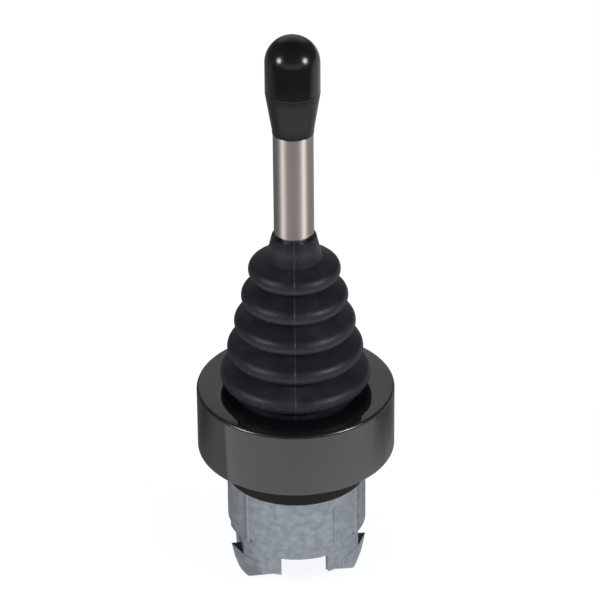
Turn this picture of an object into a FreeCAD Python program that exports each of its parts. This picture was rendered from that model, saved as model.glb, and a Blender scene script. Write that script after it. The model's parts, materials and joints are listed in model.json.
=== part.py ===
import FreeCAD, Part
import math
import os
import re
import Sketcher

# Joystick head for a 22 mm panel hole. Millimetres. The origin is the centre of the panel face,
# under the gasket. +Z runs up the lever, the bayonet lugs lie on the X axis.

doc = FreeCAD.newDocument("joystick_head")
sheet = doc.addObject("Spreadsheet::Sheet", "Sizes")

# Driving dimensions
sizes = {
    # panel hole and gasket
    "barrel_radius": 11.0,
    "sleeve_radius": 11.2,
    "sleeve_length": 3.5,
    "sleeve_wall": 0.9,
    "gasket_inset": 0.1,
    "gasket_thickness": 1.2,
    # bezel
    "bezel_radius": 15.55,
    "bezel_height": 10.85,
    "bezel_wall": 2.0,
    "bezel_roof": 1.6,
    "bezel_edge": 0.5,
    "bezel_foot_edge": 0.25,
    "bezel_brim": 5.15,
    # cast barrel
    "head_bore": 11.0,
    "main_bore": 9.2,
    "foot_bore": 8.0,
    "carrier_seat": 2.0,
    "step_depth": 11.95,
    "step_inset": 0.45,
    "front_angle": 99.0,
    "rib_angle": 52.5,
    "rib_groove": 0.6,
    "rib_groove_depth": 0.4,
    "panel_angle": 50.0,
    "panel_inset": 0.12,
    "panel_depth": 4.9,
    "notch_depth": 14.95,
    "notch_ramp": 1.55,
    "notch_flat": 9.35,
    "flank_angle": 36.5,
    "lug_depth": 17.75,
    "lug_radius": 10.9,
    "lug_width": 5.8,
    "skirt_depth": 17.35,
    "skirt_reach": 9.25,
    "foot_depth": 21.45,
    "foot_radius": 9.1,
    "foot_width": 7.2,
    "slot_width": 7.4,
    "slot_depth": 14.25,
    # boot
    "boot_lip": 1.3,
    "boot_wall": 0.9,
    "fold_count": 5,
    "fold_overhang": 1.38,
    "fold_top_radius": 7.16,
    "fold_pitch": 4.61,
    "fold_height": 2.45,
    "fold_round": 1.45,
    "fold_depth": 2.3,
    "fold_under": 75.0,
    "fold_over": 50.0,
    "crease_share": 0.56,
    "boot_neck_gap": 0.3,
    "boot_rise": 0.4,
    "collar_base": 4.3,
    "collar_radius": 3.45,
    "collar_height": 3.6,
    "clamp_ring": 1.2,
    "clamp_ring_width": 3.8,
    # snap rings
    "snap_ring": 0.8,
    "snap_ring_width": 1.3,
    "snap_groove": 0.5,
    "snap_gap_angle": 40.0,
    # gimbal
    "pivot_depth": 2.0,
    "hub_radius": 4.3,
    "hub_height": 5.6,
    "gimbal_inner": 4.7,
    "gimbal_outer": 6.5,
    "gimbal_height": 3.2,
    "trunnion_radius": 0.8,
    "cross_pin_radius": 0.75,
    "bush_wall": 0.65,
    # bearing carrier
    "carrier_depth": 3.9,
    "carrier_cavity": 7.3,
    "carrier_cavity_top": 1.6,
    "carrier_flange": 2.2,
    "carrier_opening": 4.8,
    # lever
    "rod_radius": 2.5,
    "rod_pivot_radius": 2.0,
    "rod_core_radius": 2.2,
    "rod_shoulder": 12.0,
    "rod_thread": 8.0,
    "rod_chamfer": 0.5,
    "tube_radius": 3.1,
    "tube_length": 17.2,
    "tube_gap": 0.65,
    "spring_seat_radius": 4.6,
    "spring_seat_height": 1.1,
    # knob
    "knob_radius": 4.2,
    "knob_foot_radius": 3.2,
    "knob_height": 15.85,
    "knob_taper": 6.2,
    "knob_foot": 0.45,
    "insert_radius": 2.9,
    "insert_length": 7.6,
    "insert_recess": 0.8,
    # rocker plate and screw
    "rocker_radius": 7.4,
    "rocker_drop": 4.6,
    "rocker_thickness": 1.4,
    "rocker_boss": 3.2,
    "rocker_boss_height": 1.4,
    "screw_radius": 1.0,
    "screw_head": 1.9,
    "screw_length": 4.2,
    # plungers and guide
    "plunger_place": 5.6,
    "plunger_gap": 0.7,
    "plunger_head": 1.7,
    "plunger_head_height": 1.4,
    "plunger_dome": 0.7,
    "plunger_stem": 1.2,
    "plunger_length": 7.5,
    "guide_seat": 13.6,
    "guide_thickness": 2.0,
    "guide_boss": 2.1,
    "guide_boss_height": 0.8,
    # springs
    "spring_wire": 0.9,
    "spring_turns": 4.5,
    "spring_base": 6.5,
    "spring_top": 3.4,
    "small_wire": 0.3,
    "small_turns": 3.0,
    "wire_sides": 8,
    # edges and fits
    "edge_break": 0.2,
    "pin_end": 0.3,
    "overcut": 1.0,
    "running_fit": 0.05,
    "seat_fit": 0.05,
    "loose_fit": 0.1,
}
for row, (name, number) in enumerate(sizes.items(), 1):
    sheet.set(f"A{row}", name)
    sheet.set(f"B{row}", str(number))
    sheet.setAlias(f"B{row}", name)
doc.recompute()

# Places that follow from the driving dimensions
places = {
    "bezel_top": "gasket_thickness + bezel_height",
    "roof_under": "bezel_top - bezel_roof",
    "lip_under": "roof_under - boot_lip",
    "head_top": "lip_under - clamp_ring",
    "head_radius": "bezel_radius - bezel_wall - seat_fit",
    "bezel_opening": "bezel_radius - bezel_brim",
    "gasket_radius": "head_radius - gasket_inset",
    "clamp_ring_bore": "head_radius - clamp_ring_width",
    "boot_neck": "bezel_opening - boot_neck_gap",
    "neck_radius": "sleeve_radius - sleeve_wall",
    "skirt_radius": "barrel_radius - step_inset",
    "lug_reach": "lug_radius - notch_flat",
    "lug_nose": "(lug_width ^ 2 / 4 + lug_reach ^ 2) / (2 * lug_reach)",
    "carrier_top": "carrier_seat + carrier_flange",
    "guide_top": "guide_thickness - guide_seat",
    "fold_radius": "bezel_opening + fold_overhang",
    "fold_step": "(fold_radius - fold_top_radius) / (fold_count - 1)",
    "fold_first": "bezel_top + fold_height",
    "fold_last": "fold_first + (fold_count - 1) * fold_pitch",
    "collar_low": "fold_last + fold_pitch / 2",
    "collar_top": "collar_low + collar_height",
    "tube_low": "collar_top + tube_gap",
    "tube_top": "tube_low + tube_length",
    "insert_low": "tube_top + insert_recess",
    "knob_top": "tube_top + knob_height",
    "spring_seat_under": "rod_shoulder - spring_seat_height",
    "bush_radius": "trunnion_radius + running_fit + bush_wall",
    "rocker_top": "-pivot_depth - rocker_drop",
    "rocker_under": "rocker_top - rocker_thickness",
    "plunger_top": "rocker_under - plunger_gap",
    "plunger_under": "plunger_top - plunger_head_height",
    "plunger_round": "(plunger_head ^ 2 + plunger_dome ^ 2) / (2 * plunger_dome)",
}


def spell(text):
    """Write an expression out in terms of the sheet's cells."""

    def word(match):
        name = match.group(0)
        if name in places:
            return "(" + spell(places[name]) + ")"
        return f"Sizes.{name}" if name in sizes else name

    return re.sub(r"[a-z_]+", word, text)


def value(text):
    return float(sheet.evalExpression(spell(text).replace("Sizes.", "")))


parts = {}


def origin_feature(body, role):
    return next(item for item in body.Origin.OriginFeatures if item.Role == role)


def new_body(label):
    body = doc.addObject("PartDesign::Body", label)
    body.Label = label
    parts[label] = body
    return body


def new_sketch(body, name, plane, offset=None):
    sketch = body.newObject("Sketcher::SketchObject", name)
    sketch.AttachmentSupport = [(origin_feature(body, plane), "")]
    sketch.MapMode = "FlatFace"
    if offset:
        sketch.setExpression("AttachmentOffset.Base.z", spell(offset))
    return sketch


def bind(sketch, kind, items, text):
    """Add a constraint whose value is an expression."""
    number = sketch.addConstraint(Sketcher.Constraint(kind, *items, value(text)))
    sketch.setExpression(f"Constraints[{number}]", spell(text))


def pin_point(sketch, edge, point, x, y):
    if x == "0":
        sketch.addConstraint(Sketcher.Constraint("PointOnObject", edge, point, -2))
    else:
        bind(sketch, "DistanceX", (-1, 1, edge, point), x)
    if y == "0":
        sketch.addConstraint(Sketcher.Constraint("PointOnObject", edge, point, -1))
    else:
        bind(sketch, "DistanceY", (-1, 1, edge, point), y)


def arc_through(start, end, radius, left):
    """Arc from start to end, bulging to the left or right of that direction. Says if it runs backwards."""
    chord = end - start
    middle = (start + end) * 0.5
    normal = FreeCAD.Vector(-chord.y, chord.x, 0).normalize() * (1 if left else -1)
    depth = math.sqrt(max(radius**2 - (chord.Length / 2) ** 2, 0.0))
    centre = middle - normal * depth
    first, last = (end, start) if left else (start, end)
    angles = [math.atan2(point.y - centre.y, point.x - centre.x) for point in (first, last)]
    circle = Part.Circle(centre, FreeCAD.Vector(0, 0, 1), radius)
    return Part.ArcOfCircle(circle, *angles), left


def draw_loop(sketch, corners):
    """Close a loop through the corners. A corner with a radius starts an arc that bulges left or right."""
    first = sketch.GeometryCount
    spots = [FreeCAD.Vector(value(corner[0]), value(corner[1]), 0) for corner in corners]
    starts, ends = [], []
    for number, corner in enumerate(corners):
        start, end = spots[number], spots[(number + 1) % len(corners)]
        backwards = False
        if len(corner) == 2:
            edge = Part.LineSegment(start, end)
        else:
            edge, backwards = arc_through(start, end, value(corner[2]), corner[3] == "left")
        sketch.addGeometry(edge, False)
        starts.append(2 if backwards else 1)
        ends.append(1 if backwards else 2)
    for number, corner in enumerate(corners):
        after = (number + 1) % len(corners)
        joint = (first + number, ends[number], first + after, starts[after])
        sketch.addConstraint(Sketcher.Constraint("Coincident", *joint))
        pin_point(sketch, first + number, starts[number], corner[0], corner[1])
        if len(corner) > 2:
            bind(sketch, "Radius", (first + number,), corner[2])


def draw_circle(sketch, x, y, radius):
    edge = sketch.GeometryCount
    centre = FreeCAD.Vector(value(x), value(y), 0)
    sketch.addGeometry(Part.Circle(centre, FreeCAD.Vector(0, 0, 1), value(radius)), False)
    pin_point(sketch, edge, 3, x, y)
    bind(sketch, "Radius", (edge,), radius)


def box_corners(low_x, high_x, low_y, high_y):
    return [(low_x, low_y), (high_x, low_y), (high_x, high_y), (low_x, high_y)]


def turned(label, *loops, axis="V_Axis", angle="360"):
    """A body turned from profiles of radius and height, round Z, or of length and radius, round X."""
    body = new_body(label)
    body.AllowCompound = True
    sketch = new_sketch(body, label + "_profile", "XZ_Plane")
    for corners in loops:
        draw_loop(sketch, corners)
    turn = body.newObject("PartDesign::Revolution", label + "_turned")
    turn.Profile = sketch
    turn.ReferenceAxis = (sketch, [axis])
    turn.setExpression("Angle", spell(angle))
    doc.recompute()
    return body


def cut(body, name, sketch, length=None, reversed_cut=False):
    """Pocket a sketch: both ways through the body, or one way to a length."""
    before = body.Shape.Volume
    pocket = body.newObject("PartDesign::Pocket", name)
    pocket.Profile = sketch
    if length:
        pocket.setExpression("Length", spell(length))
        pocket.Reversed = reversed_cut
    else:
        pocket.Type = 1
        pocket.Midplane = True
    doc.recompute()
    if body.Shape.Volume > before - 1e-6:
        raise RuntimeError(f"{name} cuts nothing")
    return pocket


def groove_round(body, name, corners, angle):
    """Cut a profile turned by an angle, half to each side of the front."""
    before = body.Shape.Volume
    sketch = new_sketch(body, name + "_profile", "YZ_Plane")
    draw_loop(sketch, corners)
    groove = body.newObject("PartDesign::Groove", name)
    groove.Profile = sketch
    groove.ReferenceAxis = (sketch, ["V_Axis"])
    groove.setExpression("Angle", spell(angle))
    groove.Midplane = True
    doc.recompute()
    if body.Shape.Volume > before - 1e-6:
        raise RuntimeError(f"{name} cuts nothing")
    return groove


def repeat_round(body, name, features, count):
    """Repeat features round the Z axis."""
    pattern = body.newObject("PartDesign::PolarPattern", name)
    pattern.Originals = features
    pattern.Axis = (origin_feature(body, "Z_Axis"), [""])
    pattern.Angle = 360
    pattern.Occurrences = count
    body.Tip = pattern
    doc.recompute()
    return pattern


def cross_hole(body, name, plane, height, radius):
    """Hole across the body, at a height on the Z axis."""
    sketch = new_sketch(body, name + "_circle", plane)
    draw_circle(sketch, "0", height, radius)
    return cut(body, name, sketch)


def rounded_ring(inner, outer, low, high, edge="edge_break"):
    """Profile of a ring with its outer corners broken."""
    return [
        (inner, low),
        (f"{outer} - {edge}", low),
        (outer, f"{low} + {edge}"),
        (outer, f"{high} - {edge}"),
        (f"{outer} - {edge}", high),
        (inner, high),
    ]


# Bezel: a cap ring with a rounded brim and a flat roof
turned("bezel", [
    ("bezel_radius - bezel_wall", "gasket_thickness"),
    ("bezel_radius - bezel_foot_edge", "gasket_thickness", "bezel_foot_edge", "right"),
    ("bezel_radius", "gasket_thickness + bezel_foot_edge"),
    ("bezel_radius", "bezel_top - bezel_edge", "bezel_edge", "right"),
    ("bezel_radius - bezel_edge", "bezel_top"),
    ("bezel_opening + bezel_edge", "bezel_top", "bezel_edge", "right"),
    ("bezel_opening", "bezel_top - bezel_edge"),
    ("bezel_opening", "roof_under"),
    ("bezel_radius - bezel_wall", "roof_under"),
])

# Gasket: a flat ring on the panel and a sleeve through its hole
turned("panel_gasket", [
    ("neck_radius + seat_fit", "-sleeve_length"),
    ("sleeve_radius", "-sleeve_length"),
    ("sleeve_radius", "0"),
    ("gasket_radius", "0"),
    ("gasket_radius", "gasket_thickness"),
    ("neck_radius + seat_fit", "gasket_thickness"),
])

# Ring that presses the boot's lip against the bezel's roof
lip_radius = "head_radius - bezel_edge"
turned("boot_clamp_ring", rounded_ring("clamp_ring_bore", lip_radius, "head_top", "lip_under"))



# Boot: folds that shrink by equal steps, from the lip under the bezel's roof to the collar on the rod
def fold_corners(fold):
    """Rounded edge of a fold, then the crease above it."""
    reach = f"fold_radius - {fold} * fold_step"
    centre = f"{reach} - fold_round"
    height = f"fold_first + {fold} * fold_pitch"
    edge_start = (f"{centre} + fold_round * cos(fold_under)", f"{height} - fold_round * sin(fold_under)")
    edge_end = (f"{centre} + fold_round * cos(fold_over)", f"{height} + fold_round * sin(fold_over)")
    return [
        (*edge_start, "fold_round", "right"),
        edge_end,
        (f"{reach} - fold_depth", f"{height} + fold_pitch * crease_share"),
    ]


def inner_corners(fold):
    """Inside of the crease above a fold, then the inside of the fold."""
    reach = f"fold_radius - {fold} * fold_step - boot_wall"
    height = f"fold_first + {fold} * fold_pitch"
    return [
        (f"{reach} - fold_depth", f"{height} + fold_pitch * crease_share"),
        (reach, height),
    ]


folds = range(int(value("fold_count")))
boot_outside = [
    ("boot_neck - boot_wall", "lip_under"),
    (lip_radius, "lip_under"),
    (lip_radius, "roof_under"),
    ("boot_neck", "roof_under"),
    ("boot_neck", "bezel_top + boot_rise"),
]
for fold in folds:
    boot_outside += fold_corners(fold)
boot_outside[-1] = ("collar_base", "collar_low")
boot_inside = [
    ("collar_radius", "collar_top"),
    ("rod_radius + loose_fit", "collar_top"),
    ("rod_radius + loose_fit", "collar_low + boot_wall"),
]
for fold in reversed(folds):
    boot_inside += inner_corners(fold)
boot_inside.pop(3)
boot_inside.append(("boot_neck - boot_wall", "bezel_top + boot_rise"))
turned("boot", boot_outside + boot_inside)

# Barrel: head for the bezel, neck in the panel hole, barrel, bayonet lugs and feet
barrel = turned("mounting_barrel", [
    ("head_bore", "head_top"),
    ("head_bore", "carrier_top + snap_ring"),
    ("head_bore + snap_groove", "carrier_top + snap_ring"),
    ("head_bore + snap_groove", "carrier_top"),
    ("head_bore", "carrier_top"),
    ("head_bore", "carrier_seat"),
    ("main_bore", "carrier_seat"),
    ("main_bore", "guide_top + snap_ring"),
    ("main_bore + snap_groove", "guide_top + snap_ring"),
    ("main_bore + snap_groove", "guide_top"),
    ("main_bore", "guide_top"),
    ("main_bore", "-guide_seat"),
    ("foot_bore", "-guide_seat"),
    ("foot_bore", "-foot_depth"),
    ("foot_radius", "-foot_depth"),
    ("lug_radius", "-lug_depth"),
    ("barrel_radius", "-lug_depth"),
    ("barrel_radius", "-sleeve_length"),
    ("neck_radius", "-sleeve_length"),
    ("neck_radius", "gasket_thickness"),
    ("head_radius", "gasket_thickness"),
    ("head_radius", "head_top"),
])
step = groove_round(barrel, "front_step", box_corners(
    "-barrel_radius - overcut", "-skirt_radius", "-foot_depth - overcut", "-step_depth"), "front_angle")
repeat_round(barrel, "both_steps", [step], 2)
groove_round(barrel, "front_panel", box_corners(
    "-barrel_radius - overcut", "panel_inset - barrel_radius",
    "-step_depth - seat_fit", "-panel_depth"), "panel_angle")

slot = new_sketch(barrel, "slot_outline", "XZ_Plane")
draw_loop(slot, box_corners("-slot_width / 2", "slot_width / 2", "-foot_depth - overcut", "-slot_depth"))
cut(barrel, "skirt_slots", slot)

feet = new_sketch(barrel, "feet_outline", "YZ_Plane")
for side in ("", "-"):
    draw_loop(feet, [
        (f"{side}skirt_reach", "-skirt_depth"),
        (f"{side}(barrel_radius + overcut)", "-skirt_depth"),
        (f"{side}(barrel_radius + overcut)", "-foot_depth - overcut"),
        (f"{side}foot_width / 2", "-foot_depth - overcut"),
        (f"{side}foot_width / 2", "-foot_depth"),
    ])
cut(barrel, "feet_slopes", feet)

notch = new_sketch(barrel, "notch_outline", "XZ_Plane")
for side in ("", "-"):
    draw_loop(notch, [
        (f"{side}notch_flat", "-lug_depth"),
        (f"{side}(barrel_radius + overcut)", "-lug_depth"),
        (f"{side}(barrel_radius + overcut)", "-notch_depth + notch_ramp / (barrel_radius - notch_flat)"),
        (f"{side}notch_flat", "-notch_depth - notch_ramp"),
    ])
cut(barrel, "lug_notches", notch)



def flank_corners(side, nose=()):
    """Flat flanks from the skirt's edges to the lug, and the lug's nose where there is one."""
    edge = f"{side}skirt_radius * sin(flank_angle)"
    outside = f"{side}(barrel_radius + overcut)"
    clear = f"{side}(barrel_radius + overcut) * sin(flank_angle)"
    return [
        (f"{side}notch_flat", "-lug_width / 2"),
        (edge, "-skirt_radius * cos(flank_angle)"),
        (clear, "-(barrel_radius + overcut) * cos(flank_angle)"),
        (outside, "-(barrel_radius + overcut) * cos(flank_angle)"),
        (outside, "(barrel_radius + overcut) * cos(flank_angle)"),
        (clear, "(barrel_radius + overcut) * cos(flank_angle)"),
        (edge, "skirt_radius * cos(flank_angle)"),
        (f"{side}notch_flat", "lug_width / 2", *nose),
    ]


band = new_sketch(barrel, "notch_band_outline", "XY_Plane", "-notch_depth - notch_ramp")
for side in ("", "-"):
    draw_loop(band, flank_corners(side))
cut(barrel, "notch_bands", band, "lug_depth - notch_depth - notch_ramp")

nose = new_sketch(barrel, "lug_nose_outline", "XY_Plane", "-lug_depth")
for side, bulge in (("", "left"), ("-", "right")):
    draw_loop(nose, flank_corners(side, ("lug_nose", bulge)))
cut(barrel, "lug_noses", nose, "foot_depth - lug_depth + overcut")

ribs = new_sketch(barrel, "rib_grooves_outline", "XY_Plane", "-sleeve_length")
rib_place = "(barrel_radius + rib_groove - rib_groove_depth)"
for side_x in ("", "-"):
    for side_y in ("", "-"):
        across = f"{side_x}{rib_place} * sin(rib_angle)"
        along = f"{side_y}{rib_place} * cos(rib_angle)"
        draw_circle(ribs, across, along, "rib_groove")
cut(barrel, "rib_grooves", ribs, "step_depth - sleeve_length")

# Bearing carrier: a cup that hangs from its flange, with the trunnions' bearings across X
carrier = turned("bearing_carrier", [
    ("carrier_cavity", "-carrier_depth"),
    ("main_bore - seat_fit", "-carrier_depth"),
    ("main_bore - seat_fit", "carrier_seat"),
    ("head_bore - seat_fit", "carrier_seat"),
    ("head_bore - seat_fit", "carrier_top"),
    ("carrier_opening", "carrier_top"),
    ("carrier_opening", "carrier_cavity_top"),
    ("carrier_cavity", "carrier_cavity_top"),
])
cross_hole(carrier, "bush_holes", "YZ_Plane", "-pivot_depth", "bush_radius")

bush_bore = "trunnion_radius + running_fit"
bush_profiles = []
for side in ("", "-"):
    outer_end = f"{side}(main_bore - seat_fit - loose_fit)"
    bush_profiles.append(box_corners(outer_end, f"{side}carrier_cavity", bush_bore, "bush_radius"))
bushes = turned("trunnion_bushes", *bush_profiles, axis="H_Axis")
bushes.setExpression("Placement.Base.z", spell("-pivot_depth"))


# Snap rings: flat rings in their grooves, open at the back
def snap_ring(label, bore, low):
    outer = f"{bore} + snap_groove - seat_fit"
    profile = box_corners(f"{outer} - snap_ring_width", outer, low, f"{low} + snap_ring")
    ring = turned(label, profile, angle="360 - snap_gap_angle")
    ring.Placement.Rotation.Axis = FreeCAD.Vector(0, 0, 1)
    ring.setExpression("Placement.Rotation.Angle", spell("90 + snap_gap_angle / 2"))


snap_ring("carrier_snap_ring", "head_bore", "carrier_top")
snap_ring("guide_snap_ring", "main_bore", "guide_top")

# Gimbal ring and its pins
gimbal_profile = rounded_ring("gimbal_inner", "gimbal_outer", "-gimbal_height / 2", "gimbal_height / 2")
gimbal = turned("gimbal_ring", gimbal_profile)
cross_hole(gimbal, "trunnion_holes", "YZ_Plane", "0", "trunnion_radius")
cross_hole(gimbal, "cross_pin_holes", "XZ_Plane", "0", "cross_pin_radius")
gimbal.setExpression("Placement.Base.z", spell("-pivot_depth"))


def pin_corners(side, low, high, radius):
    """Half section of a pin along X with chamfered ends."""
    return [
        (f"{side}({low})", "0"),
        (f"{side}({high})", "0"),
        (f"{side}({high})", f"{radius} - edge_break"),
        (f"{side}({high} - edge_break)", radius),
        (f"{side}({low} + edge_break)", radius),
        (f"{side}({low})", f"{radius} - edge_break"),
    ]


pin_profiles = []
for side in ("", "-"):
    pin_profiles.append(pin_corners(side, "gimbal_inner + pin_end", "main_bore - pin_end", "trunnion_radius"))
trunnions = turned("trunnion_pins", *pin_profiles, axis="H_Axis")
trunnions.setExpression("Placement.Base.z", spell("-pivot_depth"))

cross_pin_end = "gimbal_outer - loose_fit"
cross_pin_profile = pin_corners("", f"-({cross_pin_end})", cross_pin_end, "cross_pin_radius")
cross_pin = turned("cross_pin", cross_pin_profile, axis="H_Axis")
cross_pin.Placement.Rotation = FreeCAD.Rotation(FreeCAD.Vector(0, 0, 1), 90)
cross_pin.setExpression("Placement.Base.z", spell("-pivot_depth"))

# Lever: hub, rod, tube, spring seat
flat = "sqrt(hub_radius ^ 2 - hub_height ^ 2 / 4)"
hub = turned("lever_hub", [
    ("rod_pivot_radius", "-hub_height / 2"),
    (flat, "-hub_height / 2", "hub_radius", "right"),
    (flat, "hub_height / 2"),
    ("rod_pivot_radius", "hub_height / 2"),
])
cross_hole(hub, "hub_cross_hole", "XZ_Plane", "0", "cross_pin_radius + running_fit")
hub.setExpression("Placement.Base.z", spell("-pivot_depth"))

rod = turned("lever_rod", [
    ("0", "rocker_top"),
    ("rod_pivot_radius", "rocker_top"),
    ("rod_pivot_radius", "rod_shoulder"),
    ("rod_radius", "rod_shoulder"),
    ("rod_radius", "tube_low"),
    ("rod_core_radius", "tube_low"),
    ("rod_core_radius", "tube_top"),
    ("rod_pivot_radius", "tube_top"),
    ("rod_pivot_radius", "tube_top + rod_thread - rod_chamfer"),
    ("rod_pivot_radius - rod_chamfer", "tube_top + rod_thread"),
    ("0", "tube_top + rod_thread"),
])
cross_hole(rod, "rod_cross_hole", "XZ_Plane", "-pivot_depth", "cross_pin_radius + running_fit")
screw_hole = new_sketch(rod, "screw_hole_circle", "XY_Plane", "rocker_top")
draw_circle(screw_hole, "0", "0", "screw_radius")
cut(rod, "screw_hole", screw_hole, "screw_length - rocker_thickness", True)

sleeve_bore = "rod_core_radius + seat_fit"
turned("lever_sleeve", rounded_ring(sleeve_bore, "tube_radius", "tube_low", "tube_top", "loose_fit"))
seat_bore = "rod_pivot_radius + seat_fit"
turned("spring_seat", rounded_ring(seat_bore, "spring_seat_radius", "spring_seat_under", "rod_shoulder"))

# Knob: round top, straight grip, taper to the tube, with a threaded insert
turned("knob", [
    ("rod_core_radius + loose_fit", "tube_top"),
    ("knob_foot_radius", "tube_top"),
    ("knob_foot_radius", "tube_top + knob_foot"),
    ("knob_radius", "tube_top + knob_foot + knob_taper"),
    ("knob_radius", "knob_top - knob_radius", "knob_radius", "right"),
    ("0", "knob_top"),
    ("0", "insert_low + insert_length"),
    ("insert_radius", "insert_low + insert_length"),
    ("insert_radius", "insert_low"),
    ("rod_core_radius + loose_fit", "insert_low"),
])
insert_top = "insert_low + insert_length"
turned("knob_insert", rounded_ring("rod_pivot_radius", "insert_radius", "insert_low", insert_top))

# Rocker plate on the rod's lower end, and its countersunk screw
turned("rocker_plate", [
    ("screw_radius", "rocker_under + screw_head - screw_radius"),
    ("screw_head", "rocker_under"),
    ("rocker_radius - edge_break", "rocker_under"),
    ("rocker_radius", "rocker_under + edge_break"),
    ("rocker_radius", "rocker_top"),
    ("rocker_boss", "rocker_top"),
    ("rocker_boss", "rocker_top + rocker_boss_height"),
    ("rod_pivot_radius", "rocker_top + rocker_boss_height"),
    ("rod_pivot_radius", "rocker_top"),
    ("screw_radius", "rocker_top"),
])
turned("rocker_screw", [
    ("0", "rocker_under"),
    ("screw_head", "rocker_under"),
    ("screw_radius", "rocker_under + screw_head - screw_radius"),
    ("screw_radius", "rocker_under + screw_length"),
    ("0", "rocker_under + screw_length"),
])

# Plungers: domed push rods in the guide, one to each side
plunger_sides = {"right": (1, 0), "back": (0, 1), "left": (-1, 0), "front": (0, -1)}
for side, (along_x, along_y) in plunger_sides.items():
    plunger = turned("plunger_" + side, [
        ("0", "plunger_top - plunger_length"),
        ("plunger_stem - edge_break", "plunger_top - plunger_length"),
        ("plunger_stem", "plunger_top - plunger_length + edge_break"),
        ("plunger_stem", "plunger_under"),
        ("plunger_head", "plunger_under"),
        ("plunger_head", "plunger_top - plunger_dome", "plunger_round", "right"),
        ("0", "plunger_top"),
    ])
    plunger.setExpression("Placement.Base.x", spell(f"plunger_place * {along_x}"))
    plunger.setExpression("Placement.Base.y", spell(f"plunger_place * {along_y}"))

# Guide plate with a boss under each plunger
guide = turned("plunger_guide", [
    ("0", "-guide_seat"),
    ("main_bore - seat_fit", "-guide_seat"),
    ("main_bore - seat_fit", "guide_top"),
    ("0", "guide_top"),
])
boss = new_sketch(guide, "boss_circle", "XY_Plane", "-guide_seat")
draw_circle(boss, "plunger_place", "0", "guide_boss")
boss_pad = guide.newObject("PartDesign::Pad", "boss_pad")
boss_pad.Profile = boss
boss_pad.setExpression("Length", spell("guide_boss_height"))
boss_pad.Reversed = True
doc.recompute()
hole = new_sketch(guide, "guide_hole_circle", "XY_Plane", "guide_top")
draw_circle(hole, "plunger_place", "0", "plunger_stem + loose_fit")
guide_hole = cut(guide, "guide_hole", hole, "guide_thickness + guide_boss_height")
repeat_round(guide, "guide_holes", [boss_pad, guide_hole], 4)


# Springs: a many-sided wire swept along a helix
def coil(label, base_radius, low, high, wire, turns, top_radius=None):
    """Coil whose wire lies between two heights."""
    height = f"({high} - ({low}) - {wire})"
    helix = doc.addObject("Part::Helix", label + "_line")
    helix.setExpression("Radius", spell(base_radius))
    helix.setExpression("Height", spell(height))
    helix.setExpression("Pitch", spell(f"{height} / {turns}"))
    if top_radius:
        helix.setExpression("Angle", spell(f"-atan(({base_radius} - {top_radius}) / {height})"))
    helix.setExpression("Placement.Base.z", spell(f"{low} + {wire} / 2"))
    section = doc.addObject("Part::RegularPolygon", label + "_wire")
    section.setExpression("Polygon", spell("wire_sides"))
    section.setExpression("Circumradius", spell(f"{wire} / 2"))
    section.Placement.Rotation = FreeCAD.Rotation(FreeCAD.Vector(1, 0, 0), 90)
    section.setExpression("Placement.Base.x", spell(base_radius))
    section.setExpression("Placement.Base.z", spell(f"{low} + {wire} / 2"))
    sweep = doc.addObject("Part::Sweep", label)
    sweep.Sections = [section]
    sweep.Spine = helix
    sweep.Solid = True
    sweep.Frenet = True
    doc.recompute()
    return sweep


ends = ("carrier_top", "spring_seat_under")
parts["return_spring"] = coil("return_spring", "spring_base", *ends, "spring_wire", "spring_turns", "spring_top")

small_springs = []
ends = ("guide_top", "plunger_under")
for side, (along_x, along_y) in plunger_sides.items():
    spring = coil("spring_" + side, "plunger_stem + small_wire", *ends, "small_wire", "small_turns")
    spring.setExpression("Placement.Base.x", spell(f"plunger_place * {along_x}"))
    spring.setExpression("Placement.Base.y", spell(f"plunger_place * {along_y}"))
    small_springs.append(spring)
group = doc.addObject("Part::Compound", "plunger_springs")
group.Label = "plunger_springs"
group.Links = small_springs
parts["plunger_springs"] = group

doc.recompute()

# Every object has to be sound before anything is written
for item in doc.Objects:
    if "Invalid" in item.State or "Error" in item.State:
        raise RuntimeError(f"{item.Name} failed: {item.State}")
for label, item in parts.items():
    if item.Shape.isNull() or not item.Shape.isValid():
        raise RuntimeError(f"{label} has no sound shape")

os.makedirs("parts", exist_ok=True)
for label, item in parts.items():
    item.Shape.exportStep(f"parts/{label}.step")
    print(f"{label}: {len(item.Shape.Solids)} solid(s), {item.Shape.Volume:.1f} mm3")
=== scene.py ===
import bpy
import bmesh
import json
import math
from mathutils import Matrix, Vector


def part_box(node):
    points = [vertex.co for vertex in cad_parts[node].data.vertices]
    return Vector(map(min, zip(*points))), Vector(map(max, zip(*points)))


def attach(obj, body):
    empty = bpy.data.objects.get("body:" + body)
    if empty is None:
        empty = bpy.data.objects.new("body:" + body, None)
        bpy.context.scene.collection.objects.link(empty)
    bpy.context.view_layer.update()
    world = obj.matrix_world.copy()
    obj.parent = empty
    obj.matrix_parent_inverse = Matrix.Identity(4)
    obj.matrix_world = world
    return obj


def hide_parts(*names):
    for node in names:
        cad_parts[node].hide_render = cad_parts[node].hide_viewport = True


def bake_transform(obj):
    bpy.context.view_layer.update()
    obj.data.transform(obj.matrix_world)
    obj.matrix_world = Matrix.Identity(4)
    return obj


# Joystick head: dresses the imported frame. Metres, the origin is the centre of the panel face.

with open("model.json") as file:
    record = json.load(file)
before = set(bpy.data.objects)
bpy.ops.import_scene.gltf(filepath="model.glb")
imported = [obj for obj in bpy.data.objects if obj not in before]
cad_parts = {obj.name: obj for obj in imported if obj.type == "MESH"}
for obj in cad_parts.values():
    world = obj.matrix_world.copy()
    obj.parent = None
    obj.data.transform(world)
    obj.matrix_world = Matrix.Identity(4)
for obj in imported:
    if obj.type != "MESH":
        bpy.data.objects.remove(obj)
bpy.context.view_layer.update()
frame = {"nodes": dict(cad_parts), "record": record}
scene = bpy.context.scene
mm = 0.001


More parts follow.
